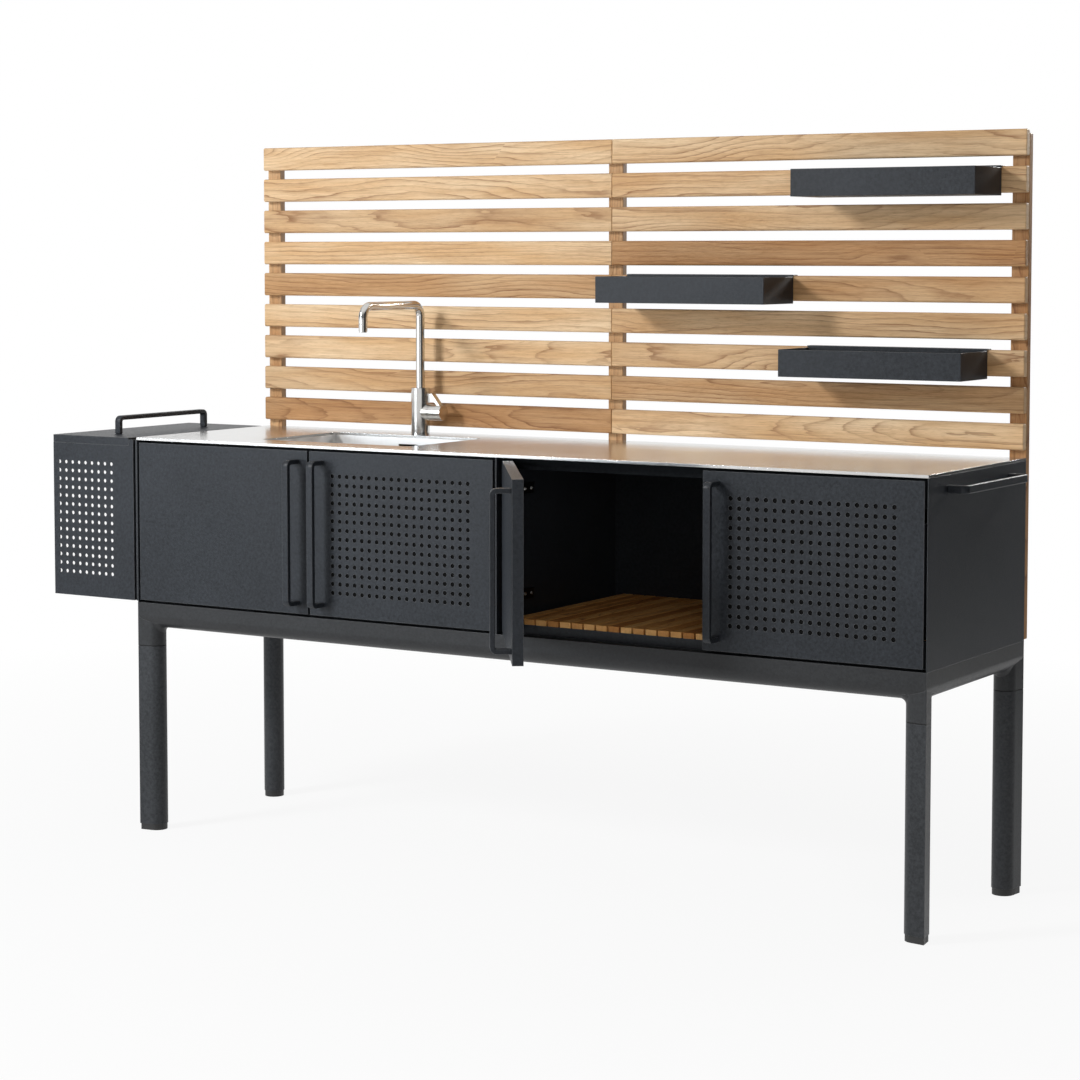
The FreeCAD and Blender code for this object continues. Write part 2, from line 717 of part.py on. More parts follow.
def centre_origin():
    """Move the model so that its origin is the middle of its footprint."""
    whole = FreeCAD.BoundBox()
    for piece in nodes.values():
        whole.add(piece.Shape.optimalBoundingBox(False, False))
    for axis, middle in (("x", whole.Center.x), ("y", whole.Center.y)):
        sheet.set("origin_" + axis, repr(round(value("origin_" + axis) - middle, 4)))
    doc.recompute()


def write():
    """Check every object, then write one file for each sub-part."""
    for item in doc.Objects:
        if "Invalid" in item.State or "Error" in item.State:
            raise RuntimeError(f"{item.Label} failed: {item.State}")
    for label, piece in nodes.items():
        if piece.Shape.isNull() or not piece.Shape.isValid() or not piece.Shape.Solids:
            raise RuntimeError(f"{label} has no valid solid")
    for label, piece in nodes.items():
        piece.Shape.exportStep(f"parts/{label}.step")


build()
centre_origin()
write()
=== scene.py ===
"""Outdoor kitchen unit: finishes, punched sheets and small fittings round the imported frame.

All lengths are metres in the part's own frame: x along the front, y towards the slat wall, z up.
"""
import json
import math

import bmesh
import bpy
from mathutils import Matrix, Vector


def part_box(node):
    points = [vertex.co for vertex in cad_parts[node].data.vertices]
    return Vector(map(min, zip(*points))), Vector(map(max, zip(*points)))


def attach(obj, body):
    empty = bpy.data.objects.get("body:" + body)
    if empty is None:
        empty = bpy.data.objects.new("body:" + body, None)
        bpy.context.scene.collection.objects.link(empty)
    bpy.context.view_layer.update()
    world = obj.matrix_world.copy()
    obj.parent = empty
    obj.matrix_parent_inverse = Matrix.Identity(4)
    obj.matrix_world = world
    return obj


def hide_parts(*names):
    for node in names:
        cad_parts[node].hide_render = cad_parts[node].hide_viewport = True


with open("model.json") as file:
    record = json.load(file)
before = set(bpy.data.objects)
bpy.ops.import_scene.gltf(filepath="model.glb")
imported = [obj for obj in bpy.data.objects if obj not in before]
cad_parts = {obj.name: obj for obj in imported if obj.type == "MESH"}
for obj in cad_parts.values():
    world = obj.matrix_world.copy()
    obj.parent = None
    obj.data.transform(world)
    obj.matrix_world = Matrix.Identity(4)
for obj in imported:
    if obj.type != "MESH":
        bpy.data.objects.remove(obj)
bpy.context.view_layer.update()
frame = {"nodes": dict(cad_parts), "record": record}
mm = 0.001
# Points closer than this count as one.
same_place = 0.01 * mm
x_axis, y_axis, z_axis = range(3)
modules = ("module_1", "module_2")
punched_doors = ("door_2", "door_4")


# Shader tools

# Most values of a noise lie in this range.
noise_range = (0.3, 0.7)


def add(tree, kind, inputs=None, **settings):
    """A node of that kind. An input given as a socket is linked, and anything else is set on it."""
    node = tree.nodes.new("ShaderNode" + kind)
    for name, value in settings.items():
        setattr(node, name, value)
    for name, value in (inputs or {}).items():
        if isinstance(value, bpy.types.NodeSocket):
            tree.links.new(value, node.inputs[name])
        else:
            node.inputs[name].default_value = value
    return node


def reckon(tree, operation, *values):
    """The result of one Math node."""
    return add(tree, "Math", dict(enumerate(values)), operation=operation).outputs["Value"]


def mixed(tree, first, second, share):
    """That share of the first number and the rest of the second."""
    rest = reckon(tree, "MULTIPLY", second, 1.0 - share)
    return reckon(tree, "MULTIPLY_ADD", first, share, rest)


def dot(tree, first, second):
    """The dot product of two vectors."""
    return add(tree, "VectorMath", {0: first, 1: second}, operation="DOT_PRODUCT").outputs["Value"]


def axes_of(tree, vector):
    """The x, y and z of a vector."""
    return add(tree, "SeparateXYZ", {"Vector": vector}).outputs


def face_normal(tree):
    """The way a face points."""
    return add(tree, "NewGeometry").outputs["Normal"]


def eased_normal(tree, radius):
    """The way a face points, turned on its edges as if they were rounded."""
    return add(tree, "Bevel", {"Radius": radius}, samples=4).outputs["Normal"]


def noise(tree, place, waves, detail=2.0, roughness=0.5):
    """Noise with so many waves a metre along each axis."""
    laid = add(tree, "Mapping", {"Vector": place, "Scale": waves}).outputs["Vector"]
    settings = {"Vector": laid, "Scale": 1.0, "Detail": detail, "Roughness": roughness}
    return add(tree, "TexNoise", settings).outputs["Fac"]


def spread(tree, value, start, end, low, high):
    """A value carried from the range start to end over to the range low to high."""
    settings = {"Value": value, "From Min": start, "From Max": end, "To Min": low, "To Max": high}
    return add(tree, "MapRange", settings).outputs["Result"]


def blend(tree, share, first, second, kind="MIX"):
    """Two colours mixed by a share."""
    settings = {"Factor": share, 6: first, 7: second}
    return add(tree, "Mix", settings, data_type="RGBA", blend_type=kind).outputs[2]


def between(tree, share, first, second):
    """A number between two others, by a share."""
    return add(tree, "Mix", {"Factor": share, 2: first, 3: second}, data_type="FLOAT").outputs[0]


def shades(tree, value, stops, interpolation="LINEAR"):
    """Colours through (position, colour) stops."""
    ramp = add(tree, "ValToRGB", {"Fac": value})
    ramp.color_ramp.interpolation = interpolation
    elements = ramp.color_ramp.elements
    while len(elements) < len(stops):
        elements.new(1.0)
    for element, (position, colour) in zip(elements, stops):
        element.position = position
        element.color = (*colour, 1.0)
    return ramp.outputs["Color"]


def two_tone(tree, value, dark, light, span=noise_range):
    """Colours from dark to light while a value runs through a span."""
    return shades(tree, value, list(zip(span, (dark, light))))


def new_finish(name, metallic=0.0, specular=0.5):
    """A blank finish: the material, its tree, its shader and the piece's own coordinates."""
    material = bpy.data.materials.new(name)
    material.use_nodes = True
    tree = material.node_tree
    shader = tree.nodes["Principled BSDF"]
    shader.inputs["Metallic"].default_value = metallic
    shader.inputs["Specular IOR Level"].default_value = specular
    return material, tree, shader, add(tree, "TexCoord").outputs["Object"]


def set_finish(tree, shader, colour, roughness, height, relief, edge_radius=0.8 * mm):
    """Colour, roughness and a relief of that depth, on edges rounded by a small radius."""
    eased = eased_normal(tree, edge_radius)
    bump = add(tree, "Bump", {"Height": height, "Distance": relief, "Normal": eased})
    tree.links.new(colour, shader.inputs["Base Color"])
    tree.links.new(roughness, shader.inputs["Roughness"])
    tree.links.new(bump.outputs["Normal"], shader.inputs["Normal"])


# Kinds of finish

# Colour of the painted highlight on the coat's edges.
edge_highlight_colour = (0.16, 0.165, 0.17, 1.0)
# Colour of the painted shade along a joint.
seam_shade_colour = (0.001, 0.001, 0.001, 1.0)
straw = (0.89, 0.665, 0.415, 1.0)
honey = (0.76, 0.49, 0.25, 1.0)
umber = (0.25, 0.10, 0.032, 1.0)
# Depth of colour through one growth ring, as (position, depth).
ring_profile = ((0.0, 0.35), (0.08, 0.0), (0.55, 0.06), (0.84, 0.4), (0.95, 1.0))
rings_per_metre = 105.0
# A joint this far along is past the end of every board.
no_joint = 10.0
# Chance shifts each board's pattern up to this far along the board and across it.
shift_along, shift_across = 9.0, 2.0
# Another number here gives every board another shift.
shift_draw = 3.0


def highlight_edge_share(tree, radius):
    """How far a point lies on an edge, from 0 on a flat face to 1, for the coat's painted edge highlight.
    """
    flat, rounded = 1.0, 0.75
    agreement = dot(tree, eased_normal(tree, radius), face_normal(tree))
    return spread(tree, agreement, flat, rounded, 0.0, 1.0)


def painted_seam_shade(tree, place, colour, seam):
    """A colour with a dark line painted along the joint at that height: painted shade in the groove
    between the two lengths.
    """
    line, fade, thickest = 0.8 * mm, 1.9 * mm, 0.95
    off = reckon(tree, "ABSOLUTE", reckon(tree, "SUBTRACT", axes_of(tree, place)["Z"], seam))
    seam_shade = spread(tree, off, line, fade, thickest, 0.0)
    return blend(tree, seam_shade, colour, seam_shade_colour)


def powder_coat(name, dark, light, edge_highlight, specular=0.27, seam=None):
    """Fine-textured coat: orange peel a few millimetres wide, faint clouds, and a painted highlight that
    makes the edges paler.

    A seam is the height of a joint between two lengths, where a line of painted shade darkens the coat."""
    material, tree, shader, place = new_finish(name, specular=specular)
    peel = noise(tree, place, (300.0,) * 3, detail=4.0, roughness=0.65)
    specks = noise(tree, place, (150.0,) * 3, detail=3.0, roughness=0.7)
    clouds = noise(tree, place, (5.0,) * 3, detail=3.0)
    coat = two_tone(tree, mixed(tree, specks, clouds, share=0.75), dark, light, span=(0.32, 0.68))
    # Edges painted paler: a painted highlight, as if light caught the rounded edges.
    colour = blend(tree, reckon(tree, "MULTIPLY", highlight_edge_share(tree, 1.8 * mm), edge_highlight), coat, edge_highlight_colour)
    # Painted shade along the joint at the seam.
    if seam is not None:
        colour = painted_seam_shade(tree, place, colour, seam)
    roughness = spread(tree, specks, *noise_range, 0.35, 0.48)
    set_finish(tree, shader, colour, roughness, peel, relief=0.34 * mm)
    return material


def brushed_steel(name, dark, light, smooth, rough, along):
    """Stainless brushed along one axis: fine scratches and slow stains."""
    material, tree, shader, place = new_finish(name, metallic=1.0)
    scratch_waves = [1400.0] * 3
    scratch_waves[along] = 9.0
    scratches = noise(tree, place, scratch_waves, detail=3.0)
    stains = noise(tree, place, (4.0, 9.0, 9.0), detail=4.0)
    colour = two_tone(tree, mixed(tree, scratches, stains, share=0.5), dark, light)
    roughness = spread(tree, mixed(tree, scratches, stains, share=0.6), *noise_range, smooth, rough)
    set_finish(tree, shader, colour, roughness, scratches, relief=0.002 * mm)
    return material


def bowl_steel(name, middle):
    """Satin steel inside a bowl round that middle, and a dark sound-deadening coat on its outside."""
    material, tree, shader, place = new_finish(name)
    scratches = noise(tree, place, (1200.0, 1200.0, 12.0), detail=3.0)
    stains = noise(tree, place, (9.0,) * 3, detail=4.0)
    lumps = noise(tree, place, (260.0,) * 3, detail=3.0)
    brushing = mixed(tree, scratches, stains, share=0.5)
    satin = two_tone(tree, brushing, (0.74, 0.74, 0.735), (0.86, 0.86, 0.855))
    deadening = two_tone(tree, lumps, (0.012, 0.012, 0.013), (0.022, 0.022, 0.023))
    spoke = add(tree, "VectorMath", {0: place, 1: middle}, operation="SUBTRACT").outputs["Vector"]
    outside = reckon(tree, "GREATER_THAN", dot(tree, spoke, face_normal(tree)), 0.0)
    tree.links.new(reckon(tree, "SUBTRACT", 1.0, outside), shader.inputs["Metallic"])
    colour = blend(tree, outside, satin, deadening)
    roughness = between(tree, outside, spread(tree, scratches, *noise_range, 0.42, 0.54), 0.75)
    height = between(tree, outside, reckon(tree, "MULTIPLY", scratches, 0.02), lumps)
    set_finish(tree, shader, colour, roughness, height, relief=0.5 * mm)
    return material


def moulded_plastic(name, dark, light, specular=0.5):
    """Matt moulded plastic with a fine spark-eroded grain."""
    material, tree, shader, place = new_finish(name, specular=specular)
    grains = noise(tree, place, (1500.0,) * 3)
    scuffs = noise(tree, place, (60.0, 60.0, 20.0), detail=4.0)
    colour = two_tone(tree, scuffs, dark, light, span=(0.3, 0.75))
    roughness = spread(tree, scuffs, *noise_range, 0.45, 0.65)
    set_finish(tree, shader, colour, roughness, grains, relief=0.1 * mm, edge_radius=0.6 * mm)
    return material


def knot_swirl(tree, own):
    """How far the grain swirls at a point: 0 in most of a board, and 1 at the heart of a rare knot."""
    cells = add(tree, "Mapping", {"Vector": own, "Scale": (2.2, 9.0, 9.0)}).outputs["Vector"]
    knot = add(tree, "TexVoronoi", {"Vector": cells, "Scale": 1.0}).outputs
    luck = add(tree, "SeparateColor", {"Color": knot["Color"]}).outputs["Red"]
    rare = reckon(tree, "GREATER_THAN", luck, 0.7)
    swirl = reckon(tree, "POWER", spread(tree, knot["Distance"], 0.0, 0.5, 1.0, 0.0), 1.5)
    return reckon(tree, "MULTIPLY", swirl, rare)


def growth_rings(tree, own, centred, chance, swirl):
    """Late wood where a board cuts the rings of a trunk, whose heart wanders beside and behind it."""
    sway = noise(tree, own, (2.0, 3.0, 3.0), detail=2.0)
    lean = noise(tree, own, (1.1, 1.0, 1.0), detail=1.0)
    aside = spread(tree, chance["Blue"], 0.0, 1.0, -0.11, 0.11)
    beside = reckon(tree, "ADD", centred, aside)
    beside = reckon(tree, "ADD", beside, spread(tree, sway, 0.0, 1.0, -0.022, 0.022))
    offset = reckon(tree, "MULTIPLY_ADD", chance["Green"], 0.10, 0.012)
    behind = reckon(tree, "ADD", offset, spread(tree, lean, 0.0, 1.0, -0.07, 0.07))
    squares = [reckon(tree, "POWER", distance, 2.0) for distance in (beside, behind)]
    radius = reckon(tree, "SQRT", reckon(tree, "ADD", *squares))
    cut = reckon(tree, "MULTIPLY_ADD", swirl, 0.045, radius)
    ripple = noise(tree, own, (9.0, 55.0, 55.0), detail=3.0)
    count = reckon(tree, "MULTIPLY_ADD", ripple, 1.1, reckon(tree, "MULTIPLY", cut, rings_per_metre))
    stops = [(position, (depth,) * 3) for position, depth in ring_profile]
    late_wood = shades(tree, reckon(tree, "FRACT", count), stops)
    fading = spread(tree, noise(tree, own, (2.5, 34.0, 34.0), detail=2.0), 0.35, 0.65, 0.25, 1.0)
    return reckon(tree, "MULTIPLY", late_wood, fading)


def board_tones(tree, board, tones):
    """The tone of each board by its number. A darker tone is also a warmer one."""
    stops = []
    for number, tone in enumerate(tones):
        start = max(0.0, (number - 0.5) / len(tones))
        stops.append((start, (tone, tone ** 1.5, tone ** 2.1)))
    return shades(tree, reckon(tree, "DIVIDE", board, float(len(tones))), stops, "CONSTANT")


def teak(name, along, across, first, pitch, tones, joint=no_joint, tones_beyond=(1.0,), shade_tint=(1.0,) * 3):
    """Oiled boards side by side: each has its own tone and its own cut through the growth rings.

    The grain runs along one axis. Boards lie a pitch apart across it, from first, and end at joint,
    beyond which other boards begin. Both lists of tones are counted from the first board."""
    material, tree, shader, place = new_finish(name, specular=0.3)
    axes = axes_of(tree, place)
    run = axes[along]
    deep = axes[x_axis + y_axis + z_axis - along - across]
    count = reckon(tree, "DIVIDE", reckon(tree, "SUBTRACT", axes[across], first), pitch)
    board = reckon(tree, "FLOOR", count)
    beyond = reckon(tree, "GREATER_THAN", run, joint)
    label = add(tree, "CombineXYZ", {"X": board, "Y": beyond, "Z": shift_draw}).outputs["Vector"]
    luck = add(tree, "TexWhiteNoise", {"Vector": label}).outputs["Color"]
    chance = add(tree, "SeparateColor", {"Color": luck}).outputs
    from_middle = reckon(tree, "SUBTRACT", reckon(tree, "FRACT", count), 0.5)
    centred = reckon(tree, "MULTIPLY", from_middle, pitch)
    own = add(tree, "CombineXYZ", {
        "X": reckon(tree, "MULTIPLY_ADD", chance["Red"], shift_along, run),
        "Y": reckon(tree, "MULTIPLY_ADD", chance["Green"], shift_across, centred),
        "Z": reckon(tree, "MULTIPLY_ADD", chance["Blue"], shift_across, deep),
    }).outputs["Vector"]

    swirl = knot_swirl(tree, own)
    knots = reckon(tree, "POWER", swirl, 5.0)
    late_wood = growth_rings(tree, own, centred, chance, swirl)
    fibres = noise(tree, own, (9.0, 420.0, 420.0), detail=3.0, roughness=0.6)
    streaks = noise(tree, own, (2.6, 85.0, 85.0), detail=4.0, roughness=0.65)
    streaks = spread(tree, streaks, 0.56, 0.74, 0.0, 1.0)
    pores = noise(tree, own, (45.0, 1100.0, 1100.0), detail=2.0)
    pores = spread(tree, pores, 0.56, 0.7, 0.0, 1.0)
    patches = noise(tree, own, (3.0, 22.0, 22.0), detail=3.0)
    wood = blend(tree, spread(tree, patches, 0.34, 0.66, 0.0, 1.0), straw, honey)
    wood = blend(tree, spread(tree, fibres, 0.35, 0.8, 0.0, 0.36), wood, umber)
    for figure, depth in ((late_wood, 0.72), (streaks, 0.5), (pores, 0.3), (knots, 0.6)):
        wood = blend(tree, reckon(tree, "MULTIPLY", figure, depth), wood, umber)
    # Faces across the grain, the boards' ends, painted paler towards straw: painted light, as if light
    # fell on the ends.
    painted_end_light = reckon(tree, "ABSOLUTE", axes_of(tree, face_normal(tree))[along])
    wood = blend(tree, spread(tree, painted_end_light, 0.6, 0.9, 0.0, 0.55), wood, straw)
    tone = blend(tree, beyond, board_tones(tree, board, tones), board_tones(tree, board, tones_beyond))
    wood = blend(tree, 1.0, wood, tone, kind="MULTIPLY")
    # Each board takes a random tone between nine tenths of the tint and all of it. The tint is painted
    # shade: the floors inside the cabinet are painted darker and warmer.
    darker_shade_tint = tuple(0.9 * part for part in shade_tint)
    own_tone_and_shade = shades(tree, chance["Red"], [(0.0, darker_shade_tint), (1.0, shade_tint)])
    wood = blend(tree, 1.0, wood, own_tone_and_shade, kind="MULTIPLY")

    roughness = spread(tree, fibres, *noise_range, 0.5, 0.68)
    height = reckon(tree, "SUBTRACT", fibres, reckon(tree, "MULTIPLY", pores, 0.8))
    set_finish(tree, shader, wood, roughness, height, relief=0.25 * mm, edge_radius=1.2 * mm)
    return material


# Coats, steels and plastics of this unit

leg_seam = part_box("leg_front_left")[1].z
frame_tones = ((0.0072, 0.008, 0.0092), (0.0215, 0.0228, 0.0252))
coat = powder_coat("anthracite_coat", (0.008, 0.0098, 0.0128), (0.027, 0.0315, 0.039), edge_highlight=0.8)
leg_coat = powder_coat(
    "leg_coat", (0.017, 0.019, 0.0215), (0.046, 0.049, 0.054), edge_highlight=0.5, seam=leg_seam)
frame_coat = powder_coat("frame_coat", *frame_tones, edge_highlight=0.05, specular=0.4, seam=leg_seam)
rail_coat = powder_coat("rail_coat", *frame_tones, edge_highlight=0.4, specular=0.4)
# A much darker copy of the coat for the stretchers: painted shade, for they stand in shade inside the
# cabinet.
painted_shade_coat = powder_coat(
    "painted_shade_coat", (0.0025, 0.003, 0.004), (0.008, 0.0095, 0.0115), edge_highlight=0.05, specular=0.05)

worktop_steel = brushed_steel(
    "brushed_stainless", (0.62, 0.61, 0.595), (0.76, 0.755, 0.74), smooth=0.15, rough=0.27, along=x_axis)
tap_steel = brushed_steel(
    "satin_tap_steel", (0.58, 0.57, 0.55), (0.72, 0.71, 0.69), smooth=0.10, rough=0.2, along=z_axis)
hinge_steel = brushed_steel(
    "black_hinge_steel", (0.035, 0.035, 0.036), (0.06, 0.06, 0.062), smooth=0.35, rough=0.5, along=y_axis)
screw_steel = brushed_steel(
    "plated_screw_steel", (0.50, 0.50, 0.49), (0.66, 0.66, 0.64), smooth=0.2, rough=0.34, along=y_axis)
bowl_low, bowl_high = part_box("sink_bowl")
sink_steel = bowl_steel("satin_bowl_steel", (bowl_low + bowl_high) / 2)
glide_plastic = moulded_plastic("glide_plastic", (0.012,) * 3, (0.022,) * 3)
# Near-black finish of the sheet behind the punched doors: painted shade.
hole_shade_plastic = moulded_plastic("hole_shade_plastic", (0.002,) * 3, (0.004,) * 3, specular=0.05)


# Boards of this unit

pale, fair, tan, brown = 1.0, 0.9, 0.78, 0.62
slat_low, slat_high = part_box("slats_left")
slat_pitch = 74.8 * mm
slat_gap = 20.8 * mm
slat_teak = teak(
    "slat_teak", x_axis, z_axis, slat_low.z - slat_gap / 2, slat_pitch,
    tones=(brown, fair, pale, pale, tan, pale, fair, pale, pale),
    joint=(slat_high.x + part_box("slats_right")[0].x) / 2,
    tones_beyond=(pale, tan, fair, fair, tan, brown, fair, fair, pale))

# The uprights stand about this far apart, so each counts as a board of its own.
upright_pitch = 0.95
upright_margin = 0.4
upright_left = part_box("wall_uprights")[0].x - upright_margin
# The uprights' tones are darker than the slats', and the right one's is darkest: painted shade, for the
# uprights stand behind the slats and the right one faces away from the key light.
upright_teak = teak("upright_teak", z_axis, x_axis, upright_left, upright_pitch, (tan, tan, brown))

floor_pitch = 29 * mm
floor_margin = 2 * mm
# Painted shade: the floors inside the cabinet are darker and warmer than the slats.
floor_shade_tint = (1.0, 0.77, 0.46)
# A colour ramp takes no more stops than this.
most_tones = 32
floor_tones = ((pale, tan, fair, brown, pale, tan, pale, fair, brown, pale, tan) * 3)[:most_tones]
floor_teaks = {}
for module in modules:
    floor_name = f"{module}_floor"
    floor_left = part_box(floor_name)[0].x - floor_margin
    floor_teaks[floor_name] = teak(
        f"{floor_name}_teak", y_axis, x_axis, floor_left, floor_pitch, floor_tones, shade_tint=floor_shade_tint)


# Finishes on the CAD nodes

slot_finishes = {
    "coat": coat,
    "stainless": worktop_steel,
    "tap_steel": tap_steel,
    "hinge_steel": hinge_steel,
    "teak": slat_teak,
    "glide": glide_plastic,
}
own_finishes = {
    "wall_uprights": upright_teak,
    "sink_bowl": sink_steel,
    "leg_sockets": frame_coat,
    **floor_teaks,
}


def finish_of(node_name, slot):
    """A node's own finish, or else that of its kind, or else that of its material slot."""
    if node_name in own_finishes:
        return own_finishes[node_name]
    # The stretchers take the darker copy of the coat as painted shade.
    if node_name.endswith("_stretcher"):
        return painted_shade_coat
    if node_name.startswith("rail_"):
        return rail_coat
    if node_name.startswith("leg_"):
        return leg_coat
    return slot_finishes[slot]


for subpart in frame["record"]["subparts"]:
    finish = finish_of(subpart["node"], subpart["material_slot"])
    frame["nodes"][subpart["node"]].material_slots[0].material = finish


# Eased edges on the flat-sided pieces

def ease_edges(node_name, width):
    """Sharp edges of a flat-sided piece rounded a little, as folded sheet and planed timber are."""
    piece = frame["nodes"][node_name]
    joined = piece.modifiers.new("joined", "WELD")
    joined.merge_threshold = same_place
    whole = piece.modifiers.new("whole_faces", "DECIMATE")
    whole.decimate_type = "DISSOLVE"
    whole.angle_limit = math.radians(0.5)
    eased = piece.modifiers.new("eased", "BEVEL")
    eased.width = width
    eased.segments = 2
    eased.limit_method = "ANGLE"
    eased.angle_limit = math.radians(40)


for width, node_names in (
    (1.8 * mm, ["slats_left", "slats_right", "wall_uprights"]),
    (1.0 * mm, [f"{module}_floor" for module in modules]),
    (0.7 * mm, ["tray_upper", "tray_middle", "tray_lower", "bin_lid"]),
    (1.2 * mm, [f"door_{number}_handle" for number in (1, 2, 3, 4)]),
    (2.0 * mm, ["towel_rail", "bin_lid_handle"]),
    (0.7 * mm, [f"{module}_side_{side}" for module in modules for side in ("left", "right")]),
):
    for node_name in node_names:
        ease_edges(node_name, width)


# Modelling tools

full_turn = 2 * math.pi
# Turns a sheet that lies flat up on its lower edge.
upright = Matrix.Rotation(math.radians(90), 4, "X")


def linked_piece(name, mesh, finish):
    """A piece in the scene from a bmesh."""
    data = bpy.data.meshes.new(name)
    mesh.to_mesh(data)
    mesh.free()
    data.materials.append(finish)
    piece = bpy.data.objects.new(name, data)
    bpy.context.scene.collection.objects.link(piece)
    return piece


def finished_piece(name, mesh, body, slot, finish, *stands_for):
    """A piece with its faces outwards, riding on its body and standing for the plain nodes named."""
    bmesh.ops.recalc_face_normals(mesh, faces=mesh.faces)
    piece = linked_piece(name, mesh, finish)
    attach(piece, body)
    if stands_for:
        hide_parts(*stands_for)


def verts_of(geometry):
    """The vertices among parts of a mesh."""
    return [part for part in geometry if isinstance(part, bmesh.types.BMVert)]


def all_of(mesh):
    """Every part of a mesh as it is now."""
    return mesh.verts[:] + mesh.edges[:] + mesh.faces[:]


def copy_of(mesh, shape):
    """The vertices of a copy of part of a mesh, still in its place."""
    return verts_of(bmesh.ops.duplicate(mesh, geom=shape)["geom"])


def drawn_out(mesh, edges):
    """The far vertices of a strip drawn out from edges, still in their place."""
    return verts_of(bmesh.ops.extrude_edge_only(mesh, edges=edges)["geom"])


def border_edges(mesh, lies_there):
    """The border edges whose ends both pass a test."""
    return [edge for edge in mesh.edges if edge.is_boundary and all(map(lies_there, edge.verts))]


def turned(mesh, outline, steps, angle=full_turn, start=0.0):
    """An outline of radii and heights turned about the upright axis."""
    points = [mesh.verts.new((radius, 0, height)) for radius, height in outline]
    edges = [mesh.edges.new(pair) for pair in zip(points, points[1:])]
    bmesh.ops.rotate(mesh, verts=points, cent=(0, 0, 0), matrix=Matrix.Rotation(start, 3, "Z"))
    bmesh.ops.spin(mesh, geom=points + edges, cent=(0, 0, 0), axis=(0, 0, 1), angle=angle, steps=steps,
                   use_merge=angle == full_turn)
    bmesh.ops.remove_doubles(mesh, verts=mesh.verts, dist=0.001 * mm)


def rounded_block(mesh, low, high, width):
    """A block between two corners, with edges rounded over that width."""
    centre = (Vector(low) + Vector(high)) / 2
    span = Vector(high) - Vector(low)
    corners = bmesh.ops.create_cube(mesh, size=1.0)["verts"]
    placing = Matrix.Translation(centre) @ Matrix.Diagonal((*span, 1.0))
    bmesh.ops.transform(mesh, matrix=placing, verts=corners)
    edges = list({edge for vert in corners for edge in vert.link_edges})
    bmesh.ops.bevel(mesh, geom=edges, offset=width, affect="EDGES", segments=2, profile=0.5, material=-1)


# Punched sheets

hole_pitch = 19.5 * mm
hole_sides = 12
door_first_hole = (61.5 * mm, 52.25 * mm)
bin_first_hole = (18.5 * mm, 55.25 * mm)
lid_gap = 0.5 * mm


def punched_field(mesh, columns, rows, diameter):
    """Round holes on a square pitch in the xy plane, the first one's centre at the origin."""
    turn = Matrix.Rotation(math.pi / hole_sides, 4, "Z")
    hole = bmesh.ops.create_circle(mesh, segments=hole_sides, radius=diameter / 2, matrix=turn)["verts"]
    rim = list({edge for vert in hole for edge in vert.link_edges})
    for vert in drawn_out(mesh, rim):
        vert.co *= hole_pitch / 2 / max(abs(vert.co.x), abs(vert.co.y))
    cell = all_of(mesh)
    for column in range(columns):
        for row in range(rows):
            if column + row:
                move = (column * hole_pitch, row * hole_pitch, 0)
                bmesh.ops.translate(mesh, verts=copy_of(mesh, cell), vec=move)
    bmesh.ops.remove_doubles(mesh, verts=mesh.verts, dist=hole_pitch / 200)


def field_border(mesh, low, high):
    """The edges along the rectangle round a punched field."""
    def outermost(vert):
        reach = max(low.x - vert.co.x, vert.co.x - high.x, low.y - vert.co.y, vert.co.y - high.y)
        return reach > -same_place
    return border_edges(mesh, outermost)


def raise_ear(mesh, left, top, rise):
    """A flat sheet's top edge raised right of a place."""
    def on_top(vert):
        return vert.co.y > top - same_place and vert.co.x > left - same_place
    bmesh.ops.bisect_plane(mesh, geom=all_of(mesh), plane_co=(left, 0, 0), plane_no=(1, 0, 0))
    raised = drawn_out(mesh, border_edges(mesh, on_top))
    bmesh.ops.translate(mesh, verts=raised, vec=(0, rise, 0))


def punched_sheet(name, node_name, body, diameter, columns, rows, first_hole, top=None, ear_left=None):
    """A punched sheet where the plain node is. first_hole is the first centre from the lower left corner.

    top is the sheet's height where it is lower than the node, and right of ear_left it rises to the
    node's."""
    low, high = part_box(node_name)
    top = top or high.z
    mesh = bmesh.new()
    punched_field(mesh, columns, rows, diameter)
    field_low = Vector((-hole_pitch / 2, -hole_pitch / 2))
    field_high = field_low + hole_pitch * Vector((columns, rows))
    sheet_low = -Vector(first_hole)
    sheet_high = sheet_low + Vector((high.x - low.x, top - low.z))
    for vert in drawn_out(mesh, field_border(mesh, field_low, field_high)):
        for axis in (x_axis, y_axis):
            if abs(vert.co[axis] - field_low[axis]) < same_place:
                vert.co[axis] = sheet_low[axis]
            if abs(vert.co[axis] - field_high[axis]) < same_place:
                vert.co[axis] = sheet_high[axis]
    if ear_left is not None:
        raise_ear(mesh, ear_left - low.x + sheet_low.x, sheet_high.y, high.z - top)
    corner = Matrix.Translation((low.x - sheet_low.x, low.y, low.z - sheet_low.y))
    bmesh.ops.transform(mesh, matrix=corner @ upright, verts=mesh.verts)
    bmesh.ops.recalc_face_normals(mesh, faces=mesh.faces)
    if mesh.faces[0].normal.y > 0:
        bmesh.ops.reverse_faces(mesh, faces=mesh.faces)
    back = bmesh.ops.extrude_face_region(mesh, geom=mesh.faces[:], use_keep_orig=True)["geom"]
    bmesh.ops.translate(mesh, verts=verts_of(back), vec=(0, high.y - low.y, 0))
    finished_piece(name, mesh, body, "coat", coat, node_name)


for door in punched_doors:
    punched_sheet(f"{door}_punched_front", f"{door}_front", door, diameter=9.8 * mm, columns=19, rows=14,
                  first_hole=door_first_hole)
punched_sheet("bin_punched_front", "bin_front", "cabinet", diameter=8.6 * mm, columns=9, rows=14,
              first_hole=bin_first_hole, top=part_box("bin_outer")[1].z,
              ear_left=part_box("bin_lid")[1].x + lid_gap)


